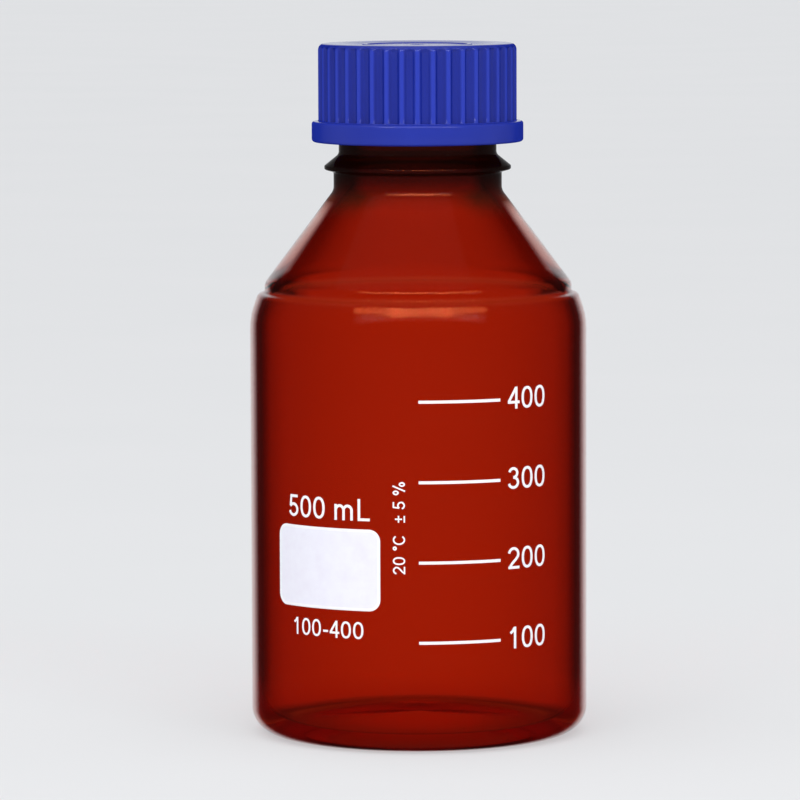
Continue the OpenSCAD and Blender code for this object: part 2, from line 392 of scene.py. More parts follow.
def revolve(name, outline, angles, radius_at=None, closed=False):
    """Solid of revolution about Z. An open outline starts and ends on the axis.

    radius_at(radius, height, angle) may move a point in or out.
    """
    verts = []
    rows = []
    for p in outline:
        if p.x < SAME:
            rows.append([len(verts)] * len(angles))
            verts.append((0.0, 0.0, p.y))
            continue
        rows.append([len(verts) + i for i in range(len(angles))])
        for a in angles:
            r = radius_at(p.x, p.y, a) if radius_at else p.x
            verts.append((r * math.cos(a), r * math.sin(a), p.y))
    faces = []
    pairs = list(zip(rows, rows[1:])) + ([(rows[-1], rows[0])] if closed else [])
    for low, high in pairs:
        for i in range(len(angles)):
            j = (i + 1) % len(angles)
            # On the axis two of the corners are one point, which is kept once
            face = [low[i], low[j], high[j], high[i]]
            faces.append([v for k, v in enumerate(face) if v != face[k - 1]])
    return new_object(name, verts, faces)


# ---------------------------------------------------------------- print on the glass

class Print:
    """Layer of enamel on the glass, gathered from strokes and areas.

    A point is flat: millimetres round the glass to the right of the front, and height.
    """

    def __init__(self):
        self.verts = []
        self.faces = []
        self.lift = 0

    def on_glass(self, x, z, out):
        """A flat point bent round the glass, at a distance from its surface."""
        angle = FRONT + x / BODY_R
        r = BODY_R + out
        return (r * math.cos(angle), r * math.sin(angle), z)

    def heights(self):
        """Lower and upper side of the next area. Each lies a hair higher than the last one,
        so that two that cross never share a surface."""
        self.lift = (self.lift + 1) % STROKE_LEVELS
        return ENAMEL_GAP, ENAMEL_T * ENAMEL_LOW + STROKE_STEP * self.lift

    def stroke(self, points, width, closed=False):
        """Line of one width along a path."""
        low, high = self.heights()
        path = [Vector(p) for p in points]
        count = len(path)
        first = len(self.verts)
        for i, p in enumerate(path):
            before = path[i - 1] if closed or i > 0 else p
            after = path[(i + 1) % count] if closed or i < count - 1 else p
            a = (p - before).normalized() if before is not p else (after - p).normalized()
            b = (after - p).normalized() if after is not p else a
            along = (a + b).normalized()
            reach = width / 2 / max(1 / MITRE_LIMIT, along.dot(a))
            across = Vector((-along.y, along.x)) * reach
            left = p + across
            right = p - across
            for side, out in ((left, low), (left, high), (right, high), (right, low)):
                self.verts.append(self.on_glass(side.x, side.y, out))
        for i in range(count if closed else count - 1):
            a = first + 4 * i
            b = first + 4 * ((i + 1) % count)
            for k in range(4):
                m = (k + 1) % 4
                self.faces.append([a + k, a + m, b + m, b + k])
        if not closed:
            last = first + 4 * (count - 1)
            self.faces.append([first + 3, first + 2, first + 1, first])
            self.faces.append([last, last + 1, last + 2, last + 3])

    def area(self, rows):
        """Area given by rows of points, all of one length, from its lower edge upwards."""
        low, high = self.heights()
        wide = len(rows[0])
        tall = len(rows)
        first = len(self.verts)
        for out in (low, high):
            self.verts += [self.on_glass(x, z, out) for row in rows for x, z in row]
        skin = first + wide * tall
        for j in range(tall - 1):
            for i in range(wide - 1):
                a = j * wide + i
                square = [a, a + 1, a + wide + 1, a + wide]
                self.faces.append([skin + k for k in square])
                self.faces.append([first + k for k in reversed(square)])
        around = list(range(wide))
        around += [j * wide + wide - 1 for j in range(1, tall)]
        around += [(tall - 1) * wide + i for i in range(wide - 2, -1, -1)]
        around += [j * wide for j in range(tall - 2, 0, -1)]
        for a, b in zip(around, around[1:] + around[:1]):
            self.faces.append([first + a, first + b, skin + b, skin + a])

    def made(self, name):
        """The object of all that was drawn."""
        return new_object(name, self.verts, self.faces, PRINT_SHARP_EDGE)


def arc(x, y, rx, ry, start, end, steps=14):
    """Points along an ellipse, from one angle to another, in degrees."""
    turns = [math.radians(start + (end - start) * i / steps) for i in range(steps + 1)]
    return [(x + rx * math.cos(t), y + ry * math.sin(t)) for t in turns]


def ring(x, y, rx, ry, steps=28, squareness=1.0):
    """Closed oval. A squareness below 1 makes its sides straighter."""
    made = []
    for i in range(steps):
        c = math.cos(TAU * i / steps)
        s = math.sin(TAU * i / steps)
        made.append((x + rx * math.copysign(abs(c) ** squareness, c),
                     y + ry * math.copysign(abs(s) ** squareness, s)))
    return made


# Plain figures and unit signs, on a cap height of 1: advance, then (path, closed) strokes
STROKE = 0.125
HALF = STROKE / 2
GLYPHS = {
    " ": (0.39, []),
    "0": (0.777, [(ring(0.32, 0.5, 0.32 - HALF, 0.5 - HALF, squareness=0.88), True)]),
    "1": (0.777, [([(0.39, 0), (0.39, 1)], False),
                  ([(0.14, 0.715), (0.26, 0.80), (0.36, 0.95)], False)]),
    "2": (0.777, [(arc(0.325, 0.68, 0.25, 0.255, 172, -25)
                   + [(0.44, 0.43), (0.24, 0.25), (0.13, 0.10)], False),
                  ([(0.035, HALF), (0.64, HALF)], False)]),
    "3": (0.777, [(arc(0.31, 0.73, 0.215, 0.205, 168, -88), False),
                  (arc(0.315, 0.295, 0.25, 0.23, 92, -168), False)]),
    "4": (0.777, [([(0.47, 0.97), (0.07, 0.33)], False),
                  ([(0.02, 0.30), (0.66, 0.30)], False),
                  ([(0.48, 0), (0.48, 1)], False)]),
    "5": (0.777, [([(0.14, 1 - HALF), (0.59, 1 - HALF)], False),
                  ([(0.175, 0.98), (0.115, 0.47)], False),
                  (arc(0.315, 0.32, 0.255, 0.255, 145, -165), False)]),
    "m": (1.163, [([(HALF, 0), (HALF, 0.725)], False),
                  (arc(0.265, 0.45, 0.2, 0.21, 180, 0) + [(0.465, 0)], False),
                  (arc(0.665, 0.45, 0.2, 0.21, 180, 0) + [(0.865, 0)], False)]),
    "L": (0.70, [([(HALF, 1), (HALF, HALF), (0.58, HALF)], False)]),
    "C": (1.0, [(arc(0.41, 0.5, 0.345, 0.5 - HALF, 38, 322, 24), False)]),
    "°": (0.45, [(ring(0.17, 0.84, 0.11, 0.11, 16), True)]),
    "%": (1.2, [(ring(0.17, 0.75, 0.13, 0.19, 18), True),
                (ring(0.85, 0.25, 0.13, 0.19, 18), True),
                ([(0.30, 0), (0.72, 1)], False)]),
    "±": (0.70, [([(0.30, 0.24), (0.30, 0.82)], False),
                 ([(0.03, 0.53), (0.57, 0.53)], False),
                 ([(0.03, HALF), (0.57, HALF)], False)]),
    "-": (0.465, [([(0.03, 0.36), (0.37, 0.36)], False)]),
}


def write(layer, words, size, place):
    """Writes plain figures or units. place(x, y) turns text millimetres into flat ones."""
    x = 0.0
    for letter in words:
        advance, strokes = GLYPHS[letter]
        for path, closed in strokes:
            placed = [place(x + px * size, py * size) for px, py in path]
            layer.stroke(placed, STROKE * size, closed)
        x += advance * size


def upright(left, baseline):
    """Place for words that read level, from their left end and their feet."""
    return lambda x, y: (left + x, baseline + y)


def climbing(base_x, start_z):
    """Place for words that read upwards, with their feet to the right."""
    return lambda x, y: (base_x - y, start_z + x)


# ---------------------------------------------------------------- materials

class Finish:
    """Node material around one Principled shader, with helpers for its textures."""

    def __init__(self, name, **values):
        self.material = bpy.data.materials.new(name)
        self.material.use_nodes = True
        self.tree = self.material.node_tree
        self.shader = self.tree.nodes["Principled BSDF"]
        self.output = self.tree.nodes["Material Output"]
        for key, value in values.items():
            self.shader.inputs[key.replace("_", " ")].default_value = value
        self.place = self.node("ShaderNodeTexCoord").outputs["Object"]

    def node(self, kind, **values):
        """New node with settings such as its operation."""
        made = self.tree.nodes.new(kind)
        for key, value in values.items():
            setattr(made, key, value)
        return made

    def link(self, source, target):
        """Links one socket to another."""
        self.tree.links.new(source, target)

    def attribute(self, name):
        """A value that the mesh holds at each of its points."""
        return self.node("ShaderNodeAttribute", attribute_name=name).outputs["Fac"]

    def facing(self):
        """0 where the surface is seen straight on, and 1 where it is seen edge on."""
        return self.node("ShaderNodeLayerWeight").outputs["Facing"]

    def upward(self, source):
        """The Z of a place or a direction."""
        made = self.node("ShaderNodeSeparateXYZ")
        self.link(source, made.inputs["Vector"])
        return made.outputs["Z"]

    def noise(self, scale, detail=3.0, roughness=0.5, stretch=(1, 1, 1)):
        """Grey noise of so many features a metre, drawn out along an axis with a low stretch."""
        mapping = self.node("ShaderNodeMapping")
        mapping.inputs["Scale"].default_value = stretch
        self.link(self.place, mapping.inputs["Vector"])
        made = self.node("ShaderNodeTexNoise")
        made.inputs["Scale"].default_value = scale
        made.inputs["Detail"].default_value = detail
        made.inputs["Roughness"].default_value = roughness
        self.link(mapping.outputs["Vector"], made.inputs["Vector"])
        return made.outputs["Fac"]

    def ramp(self, source, *stops):
        """Colours by position along a value. A single number stands for a grey."""
        made = self.node("ShaderNodeValToRGB")
        elements = made.color_ramp.elements
        while len(elements) < len(stops):
            elements.new(0.5)
        for element, (position, colour) in zip(elements, stops):
            element.position = position
            element.color = opaque(colour)
        self.link(source, made.inputs["Fac"])
        return made.outputs["Color"]

    def grey(self, source, low, high, start=0.3, end=0.7):
        """A value from low to high as the source goes from start to end."""
        made = self.node("ShaderNodeMapRange")
        made.inputs["From Min"].default_value = start
        made.inputs["From Max"].default_value = end
        made.inputs["To Min"].default_value = low
        made.inputs["To Max"].default_value = high
        self.link(source, made.inputs["Value"])
        return made.outputs["Result"]

    def times(self, first, second):
        """Product of two values."""
        made = self.node("ShaderNodeMath", operation="MULTIPLY")
        self.link(first, made.inputs[0])
        self.link(second, made.inputs[1])
        return made.outputs[0]

    def mix(self, share, first, second, blend="MIX"):
        """Two colours mixed. Each input is a socket or a value."""
        made = self.node("ShaderNodeMix", data_type="RGBA", blend_type=blend)
        for key, source in (("Factor", share), ("A", first), ("B", second)):
            target = next(i for i in made.inputs if i.name == key and i.enabled)
            if isinstance(source, bpy.types.NodeSocket):
                self.link(source, target)
            elif key == "Factor":
                target.default_value = source
            else:
                target.default_value = opaque(source)
        return next(o for o in made.outputs if o.enabled)

    def bump(self, source, depth, strength=1.0, under=None):
        """Bump of a depth in millimetres, on top of another one where that is given."""
        made = self.node("ShaderNodeBump")
        made.inputs["Strength"].default_value = strength
        made.inputs["Distance"].default_value = depth * MM
        self.link(source, made.inputs["Height"])
        if under is not None:
            self.link(under, made.inputs["Normal"])
        return made.outputs["Normal"]

    def use(self, **sources):
        """Links sockets of the shader, named with underscores for spaces."""
        for key, source in sources.items():
            self.link(source, self.shader.inputs[key.replace("_", " ")])


def stain_and_painted_edges(glass, height, facing, slant, on_cone, on_neck):
    """Colour of the stain, with painted shade where the glass is seen edge on and a painted pale
    reflection at its very edge.
    """
    skin = glass.ramp(
        height,
        (0.0, (0.13, 0.014, 0.010)),
        (0.006, (0.22, 0.015, 0.008)),
        (0.014, (0.46, 0.017, 0.001)),
        (0.79, (0.46, 0.019, 0.002)),
        (0.82, (0.10, 0.006, 0.003)),
        (0.835, (0.035, 0.005, 0.004)),
    )
    # Painted shade where the glass is seen edge on, in place of the dark edges that bending makes
    body_edge_shade = glass.ramp(
        slant,
        (0.0, 1.0),
        (0.40, (0.76, 0.70, 0.60)),
        (0.51, (0.55, 0.50, 0.50)),
        (0.59, (0.22, 0.20, 0.20)),
        (0.65, (0.10, 0.08, 0.08)),
        (0.70, (0.36, 0.30, 0.30)),
    )
    cone_edge_shade = glass.ramp(
        slant,
        (0.0, 1.0),
        (0.36, (0.80, 0.75, 0.65)),
        (0.48, (0.62, 0.55, 0.50)),
        (0.57, (0.40, 0.33, 0.33)),
        (0.68, (0.30, 0.27, 0.27)),
        (0.73, (0.45, 0.35, 0.35)),
    )
    # Painted shade: the heavy neck is dark to its very edge
    neck_edge_shade = glass.ramp(facing, (0.22, 1.0), (0.36, (0.26, 0.9, 0.9)), (1.0, (0.2, 0.7, 0.7)))
    # Painted shade: the groove under the cone is dark towards its ends
    groove_shade_mask = glass.ramp(height, (0.655, 0.0), (0.662, 1.0), (0.673, 1.0), (0.69, 0.0))
    groove_edge_shade = glass.ramp(
        facing,
        (0.27, 1.0),
        (0.42, (0.04, 0.03, 0.03)),
        (0.78, (0.04, 0.03, 0.03)),
        (0.92, (0.8, 0.5, 0.5)),
    )
    edge_shade_below_neck = glass.mix(groove_shade_mask, glass.mix(on_cone, body_edge_shade, cone_edge_shade), groove_edge_shade)
    # All the painted shade of glass seen edge on, by part of the bottle
    rim = glass.mix(on_neck, edge_shade_below_neck, neck_edge_shade)
    stain_with_painted_shade = glass.mix(1.0, rim, skin, "MULTIPLY")
    # Painted reflection: a pale fringe at the very edge of the glass
    fringe = glass.ramp(slant, (0.72, 0.0), (0.84, 1.0))
    with_painted_fringe = glass.mix(fringe, stain_with_painted_shade, PAINTED_FRINGE_COLOUR)
    # The mesh's edge value sets how much painted shade and painted pale fringe show at a point
    return glass.mix(glass.attribute("edge"), skin, glass.mix(on_neck, with_painted_fringe, stain_with_painted_shade))


def glass_gloss(glass, facing, slant, on_neck, stain):
    """Weight of the gloss: full at the painted pale fringe, and faint where the glass is seen
    straight on, so that its colour stays deep."""
    outside = glass.ramp(slant, (0.35, 0.04), (0.60, 0.0), (0.71, 0.0), (0.81, 1.0))
    outside_neck = glass.ramp(facing, (0.35, 0.05), (0.7, 0.02))
    inside = glass.ramp(slant, (0.40, 0.2), (0.60, 0.0))
    return glass.mix(stain, inside, glass.mix(on_neck, outside, outside_neck))


def amber_glass():
    """Clear glass with a deep amber stain fired into its outside, darkest on the heavy neck, and
    with painted shade and a painted pale reflection where it is seen edge on.
    """
    glass = Finish("amber_glass", Transmission_Weight=1.0, IOR=GLASS_IOR, Roughness=0.0,
                   Coat_IOR=1.5, Coat_Roughness=0.07)
    # Each height from here on is a share of the bottle's height
    height = glass.grey(glass.upward(glass.place), 0.0, 1.0, 0.0, BOTTLE_H * MM)
    on_cone = glass.grey(height, 0.0, 1.0, *CONE_FROM)
    on_neck = glass.grey(height, 0.0, 1.0, *NECK_FROM)
    facing = glass.facing()
    slant = glass.times(facing, glass.grey(on_cone, 1.0, CONE_LEAN, 0.0, 1.0))
    stain = glass.attribute("stain")
    colour = stain_and_painted_edges(glass, height, facing, slant, on_cone, on_neck)
    glass.use(
        Base_Color=glass.mix(stain, 1.0, colour),
        Coat_Weight=glass_gloss(glass, facing, slant, on_neck, stain),
        Normal=glass.bump(glass.noise(22, detail=1.0, stretch=(1, 1, 0.35)), 0.35),
    )
    depth = glass.node("ShaderNodeVolumeAbsorption")
    depth.inputs["Color"].default_value = opaque(GLASS_TINT)
    depth.inputs["Density"].default_value = GLASS_DENSITY
    glass.link(depth.outputs["Volume"], glass.output.inputs["Volume"])
    return glass.material


def moulded_plastic(name, shade, deep, crest_highlight_colour):
    """Satin moulded polypropylene with a fine grain and a little flow in its colour, and paler where
    its
    points are marked: a painted highlight on the ribs' crests and a paler band. Its gloss is soft on
    the sides and clearer on a flat top."""
    plastic = Finish(name, Specular_IOR_Level=0.0, Coat_IOR=1.5, Coat_Roughness=0.12)
    flow = plastic.noise(70, detail=4.0, roughness=0.55, stretch=(1, 1, 0.4))
    grain = plastic.noise(5200, detail=2.0)
    side_gloss = plastic.ramp(plastic.facing(), (0.30, 0.45), (0.62, 0.0))
    normal = plastic.node("ShaderNodeNewGeometry").outputs["Normal"]
    flat_top = plastic.grey(plastic.upward(normal), 0.0, 1.0, 0.85, 0.98)
    body = plastic.ramp(flow, (0.3, deep), (0.7, shade))
    # Marked points take the paler colour: a painted highlight on the crests, a share of it on the
    # band
    plastic.use(
        Base_Color=plastic.mix(plastic.attribute("crest_highlight_and_band"), body, crest_highlight_colour),
        Roughness=plastic.grey(plastic.noise(420), 0.5, 0.6),
        Coat_Weight=plastic.mix(flat_top, side_gloss, 1.0),
        Normal=plastic.bump(grain, 0.012, 0.5, plastic.bump(flow, 0.05, 0.6)),
    )
    return plastic.material


def silicone():
    """Matt, faintly translucent silicone rubber."""
    rubber = Finish("silicone", IOR=1.41, Subsurface_Weight=0.15, Subsurface_Scale=0.002)
    speck = rubber.noise(900, detail=4.0, roughness=0.6)
    rubber.use(
        Base_Color=rubber.ramp(speck, (0.3, srgb(214, 210, 200)), (0.7, srgb(230, 227, 219))),
        Roughness=rubber.grey(rubber.noise(300), 0.5, 0.62),
        Normal=rubber.bump(rubber.noise(2600), 0.02, 0.5),
    )
    return rubber.material


def facing_film():
    """Smooth white facing of the disc, with faint drawn lines."""
    film = Finish("facing_film", IOR=1.38)
    drawn = film.noise(60, roughness=0.6, stretch=(0.15, 6, 1))
    film.use(
        Base_Color=film.ramp(drawn, (0.3, srgb(232, 231, 226)), (0.7, srgb(243, 243, 240))),
        Roughness=film.grey(drawn, 0.22, 0.34),
        Normal=film.bump(drawn, 0.015, 0.6),
    )
    return film.material


def enamel(name, shade, worn):
    """Fired enamel, slightly uneven in cover and in gloss."""
    layer = Finish(name, IOR=1.5, Specular_IOR_Level=0.3)
    cover = layer.noise(260, detail=5.0, roughness=0.6)
    layer.use(
        Base_Color=layer.ramp(cover, (0.25, worn), (0.6, shade)),
        Roughness=layer.grey(layer.noise(700), 0.4, 0.55),
        Normal=layer.bump(layer.noise(3200), 0.012, 0.5),
    )
    return layer.material


def seen_rays(tree):
    """1 for rays of the eye, of gloss and through glass, and 0 for those that only carry light."""
    rays = tree.nodes.new("ShaderNodeLightPath")
    seen = rays.outputs["Is Camera Ray"]
    for kind in ("Is Glossy Ray", "Is Transmission Ray"):
        both = tree.nodes.new("ShaderNodeMath")
        both.operation = "MAXIMUM"
        tree.links.new(seen, both.inputs[0])
        tree.links.new(rays.outputs[kind], both.inputs[1])
        seen = both.outputs[0]
    return seen


def floor_material():
    """Plain pale floor, faintly mottled. It keeps part of each shadow that falls on it."""
    floor = Finish("pale_floor", Roughness=0.85, Specular_IOR_Level=0.1)
    mottled = floor.ramp(floor.noise(6), (0.3, srgb(229, 230, 231)), (0.7, srgb(233, 233, 234)))
    floor.use(Base_Color=mottled)
    glow = floor.node("ShaderNodeEmission")
    glow.inputs["Color"].default_value = srgb(232, 233, 235)
    share = floor.node("ShaderNodeMath", operation="MULTIPLY")
    floor.link(seen_rays(floor.tree), share.inputs[0])
    share.inputs[1].default_value = FLOOR_GLOW
    mix = floor.node("ShaderNodeMixShader")
    floor.link(share.outputs[0], mix.inputs["Fac"])
    floor.link(floor.shader.outputs[0], mix.inputs[1])
    floor.link(glow.outputs[0], mix.inputs[2])
    floor.link(mix.outputs[0], floor.output.inputs["Surface"])
    return floor.material


# ---------------------------------------------------------------- pieces

def dress(piece, material, body, slot, *nodes):
    """Gives a piece its material and its body, and hides the nodes it stands for. The slot is not
    used.
    """
    piece.data.materials.append(material)
    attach(piece, body)
    if nodes:
        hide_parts(*nodes)
    return piece


def glass_outline():
    """Half section of the glass, up the outside and back down the inside."""
    crease_r = BODY_R - CREASE_IN
    inner_r = BODY_R - SIDE_WALL
    cone = Vector((crease_r - COLLAR_R, COLLAR_Z - CONE_Z))
    wall_in = CONE_WALL * Vector((cone.y, cone.x)) / cone.length
    slope = cone.y / cone.x
    inner_cone_z = CONE_Z - wall_in.y - (inner_r - crease_r + wall_in.x) * slope
    inner_collar_z = COLLAR_Z - wall_in.y + (COLLAR_R - wall_in.x - BORE_R) * slope
    floor_z = PUNT_H + BASE_WALL
    foot_inner_r = BODY_R - HEEL_R - FOOT_W
    return rounded([
        (0, PUNT_H, 0),
        (foot_inner_r, 0, PUNT_ROUND),
        (BODY_R, 0, HEEL_R),
        (BODY_R, SHOULDER_Z, SHOULDER_R),
        (BODY_R - KNUCKLE_IN, KNUCKLE_Z, KNUCKLE_R),
        (crease_r, CREASE_Z, CREASE_ROUND),
        (crease_r, CONE_Z, STEP_ROUND),
        (COLLAR_R, COLLAR_Z, COLLAR_ROUND),
        (COLLAR_R, BEAD_Z - BEAD_EDGE_H - BEAD_UNDER_H, BEAD_UNDER_H),
        (BEAD_R, BEAD_Z - BEAD_EDGE_H, BEAD_EDGE_H / 2),
        (BEAD_R, BEAD_Z, BEAD_EDGE_H / 2),
        (NECK_R, BEAD_Z + BEAD_FLARE, RIM_EDGE_R),
        (NECK_R, LIP_Z, 0),
        (LIP_R - CLIP_DEPTH, LIP_Z, 0),
        (LIP_R - CLIP_DEPTH, LIP_Z + CLIP_H, 0),
        (LIP_R, LIP_Z + CLIP_H, 0),
        (LIP_R, BOTTLE_H, LIP_EDGE_R),
        (BORE_R, BOTTLE_H, RIM_EDGE_R),
        (BORE_R, inner_collar_z, INNER_COLLAR_R),
        (inner_r, inner_cone_z, INNER_SHOULDER_R),
        (inner_r, floor_z - FLOOR_DROP, INNER_HEEL_R),
        (0, floor_z, 0),
    ])


def thread_start(turns):
    """Height at which a thread of so many turns starts, round the middle that both threads share."""
    return BOTTLE_H - THREAD_DROP - turns * THREAD_PITCH / 2


def mark(piece, name, values):
    """Gives each point of a piece a value that its material reads by name."""
    attribute = piece.data.attributes.new(name, "FLOAT", "POINT")
    attribute.data.foreach_set("value", values)


def make_glass():
    """The hollow bottle with the thread on its neck, and with what its material reads by point."""
    start = thread_start(NECK_TURNS)

    def spacing(p):
        if abs(p.x - NECK_R) < SAME and p.y > BEAD_Z + BEAD_FLARE:
            return THREAD_SPACING
        in_crease = KNUCKLE_Z - CREASE_MARGIN < p.y < CONE_Z and p.x > BODY_R - CREASE_REACH
        return CREASE_SPACING if in_crease else GLASS_SPACING

    def radius_at(r, z, angle):
        if abs(r - NECK_R) > SAME or z < BEAD_Z:
            return r
        return r + THREAD_DEPTH * ridge(angle, z, start, NECK_TURNS)

    outline = dense(glass_outline(), spacing)
    glass = revolve("glass_body", outline, even(GLASS_COLUMNS), radius_at)
    # The outline runs up the outside first, so the points after the rim are the inside's
    rim = max(v.index for v in glass.data.vertices if v.co.z > (BOTTLE_H - SAME) * MM)
    points = [(v.index, v.co / MM) for v in glass.data.vertices]
    # On the ledge the stain is paler, as a painted highlight
    mark(glass, "stain", [stain_with_ledge_highlight(point) if i <= rim else 0.0 for i, point in points])
    # How much painted shade each point takes where the glass is seen edge on
    mark(glass, "edge", [painted_edge_shade_share(point) for _, point in points])
    return glass


def stain_with_ledge_highlight(point):
    """How deep the stain lies on the outside: a little less on the ledge under the cone, as a painted
    highlight.
    """
    if point.z < KNUCKLE_Z - LEDGE_BELOW:
        return 1.0
    inwards = BODY_R - math.hypot(point.x, point.y)
    far_in = smooth((inwards - LEDGE_IN) / LEDGE_FADE)
    far_up = smooth((point.z - CREASE_Z - LEDGE_ABOVE) / LEDGE_FADE)
    return 1 - LEDGE_HIGHLIGHT * far_in * (1 - far_up)


def painted_edge_shade_share(point):
    """How much painted shade the glass gets where it is seen edge on: not under the base, little on
    the ledge.
    """
    # 0 on the ledge, and in full again a millimetre above or below it
    off_ledge = abs(point.z - (KNUCKLE_Z + CREASE_Z) / 2) - (CREASE_Z - KNUCKLE_Z) / 2
    share = LEDGE_EDGE_SHADE + (1 - LEDGE_EDGE_SHADE) * smooth(off_ledge)
    share *= HEEL_EDGE_SHADE + (1 - HEEL_EDGE_SHADE) * smooth((point.z - HEEL_R) / HEEL_FADE)
    if point.z < FOOT_Z:
        outwards = math.hypot(point.x, point.y) - (BODY_R - HEEL_R - FOOT_FADE)
        share *= smooth(outwards / FOOT_FADE)
    return share


def make_pouring_ring():
    """Ring on the lip, with a bead inside that clips into the lip's groove."""
    inner = LIP_R + RING_GAP
    outline = rounded([
        (BORE_R, BOTTLE_H, CRISP_EDGE_R),
        (inner, BOTTLE_H, 0),
        (inner, LIP_Z + CLIP_H, 0),
        (inner - CLIP_DEPTH, LIP_Z + CLIP_H - RING_GAP, CRISP_EDGE_R),
        (inner - CLIP_DEPTH, LIP_Z + CLIP_H / 2, CRISP_EDGE_R),
        (inner, LIP_Z + RING_GAP, CRISP_EDGE_R),
        (NECK_R, LIP_Z + RING_GAP, EASED_EDGE_R),
        (NECK_R, BOTTLE_H + RING_TOP / 2, RING_SIDE_EDGE_R),
        (NECK_R - RING_TOP / 2, RING_Z, RING_TOP_EDGE_R),
        (BORE_R + RING_TOP / 2, RING_Z, RING_TOP_EDGE_R),
        (BORE_R, BOTTLE_H + RING_TOP / 2, RING_SIDE_EDGE_R),
    ], PLASTIC_ARC_STEP)
    return revolve("drip_ring", outline, even(RING_COLUMNS), closed=True)


def make_disc(name, low, thick, edge_r):
    """Flat disc under the cap's top, from its lower side up."""
    high = low + thick
    corners = [(0, low, 0), (DISC_R, low, edge_r), (DISC_R, high, edge_r), (0, high, 0)]
    outline = dense(rounded(corners, PLASTIC_ARC_STEP), lambda p: PLASTIC_SPACING)
    return revolve(name, outline, even(DISC_COLUMNS))


def cap_outline():
    """Half section of the cap: out under its top, down its bore, and up and over the outside."""
    recess_z = CAP_TOP_Z - RECESS_DEPTH
    ring_z = recess_z + TOP_RING_H
    ring_inner_r = TOP_RING_R - TOP_RING_W
    return rounded([
        (0, CAP_UNDER_Z, 0),
        (CAP_BORE_R, CAP_UNDER_Z, BORE_EDGE_R),
        (CAP_BORE_R, KEEPER_Z + KEEPER_H, CRISP_EDGE_R),
        (CAP_BORE_R - KEEPER_W, KEEPER_Z + KEEPER_H, EASED_EDGE_R),
        (CAP_BORE_R - KEEPER_W, KEEPER_Z, EASED_EDGE_R),
        (CAP_BORE_R, KEEPER_Z - KEEPER_W / 2, NEAT_EDGE_R),
        (CAP_BORE_R, CAP_Z + MOUTH_CHAMFER, BORE_EDGE_R),
        (CAP_BORE_R + MOUTH_CHAMFER, CAP_Z, BORE_EDGE_R),
        (BAND_R, CAP_Z, BAND_EDGE_R),
        (BAND_R, CAP_Z + BAND_H, BAND_EDGE_R),
        (CAP_R, CAP_Z + BAND_H, EASED_EDGE_R),
        (CAP_R, CAP_TOP_Z, CAP_EDGE_R),
        (RECESS_R, CAP_TOP_Z, EASED_EDGE_R),
        (RECESS_R - RECESS_EASE, recess_z, EASED_EDGE_R),
        (TOP_RING_R, recess_z, NEAT_EDGE_R),
        (TOP_RING_R - TOP_RING_SLOPE, ring_z, TOP_RING_EDGE_R),
        (ring_inner_r + TOP_RING_SLOPE, ring_z, TOP_RING_EDGE_R),
        (ring_inner_r, recess_z, NEAT_EDGE_R),
        (GATE_R, recess_z, NEAT_EDGE_R),
        (GATE_R - GATE_SLOPE, recess_z - GATE_DEPTH, NEAT_EDGE_R),
        (0, recess_z - GATE_DEPTH, 0),
    ], PLASTIC_ARC_STEP)


def cap_columns(pitch):
    """Angles of the cap's columns, closest together on the flanks of the grooves."""
    half = (0.08, 0.15, 0.21, 0.26, 0.31, 0.36, 0.42)
    # Shares of the pitch from the middle of a groove to that of the rib after it
    shares = [-share for share in reversed(half)] + [0, *half, 0.5]
    return [(i + 0.5 + share) * pitch for i in range(RIBS) for share in shares]


def make_cap():
    """The ribbed cap with its thread inside, and with its painted highlight and paler band by point.
    """
    start = thread_start(CAP_TURNS)
    # Turned so that its ridge runs half a pitch away from the neck's
    turned = TAU * (start - thread_start(NECK_TURNS)) / THREAD_PITCH + math.pi
    pitch = TAU / RIBS
    groove_half = (pitch * CAP_R - RIB_W) / 2
    groove_low = CAP_Z + BAND_H + GROOVE_FOOT

    def spacing(p):
        if abs(p.x - CAP_BORE_R) < SAME and p.y < KEEPER_Z:
            return CAP_THREAD_SPACING
        return GROOVE_SPACING if abs(p.x - CAP_R) < SAME else PLASTIC_SPACING

    def radius_at(r, z, angle):
        if abs(r - CAP_BORE_R) < SAME:
            return r - (CAP_BORE_R - CAP_THREAD_R) * ridge(angle - turned, z, start, CAP_TURNS)
        if r > CAP_R - CAP_EDGE_R and z > groove_low:
            away = abs((angle / pitch) % 1 - 0.5) * pitch * CAP_R
            flank = (away - groove_half * GROOVE_FLAT) / (groove_half * GROOVE_FLANK)
            fade = smooth((CAP_TOP_Z - GROOVE_END - z) / GROOVE_RUN_OUT)
            return r - GROOVE_DEPTH * (1 - smooth(flank)) * fade
        return r

    def crest_highlight_and_band(point):
        """How pale a point is: a painted highlight on the ribs' crests and the top's outer edge, and
        a share of it on the band.
        """
        r = math.hypot(point.x, point.y)
        if r < CAP_R - GROOVE_DEPTH - CAP_EDGE_R:
            return 0.0
        # Paler on the band, and a painted highlight on the crests and the top's outer edge
        if point.z < groove_low:
            return BAND_PALE
        return smooth((r - CAP_R) / HIGHLIGHT_DEPTH + 1)

    cap = revolve("ribbed_cap", dense(cap_outline(), spacing), cap_columns(pitch), radius_at)
    mark(cap, "crest_highlight_and_band", [crest_highlight_and_band(v.co / MM) for v in cap.data.vertices])
    return cap


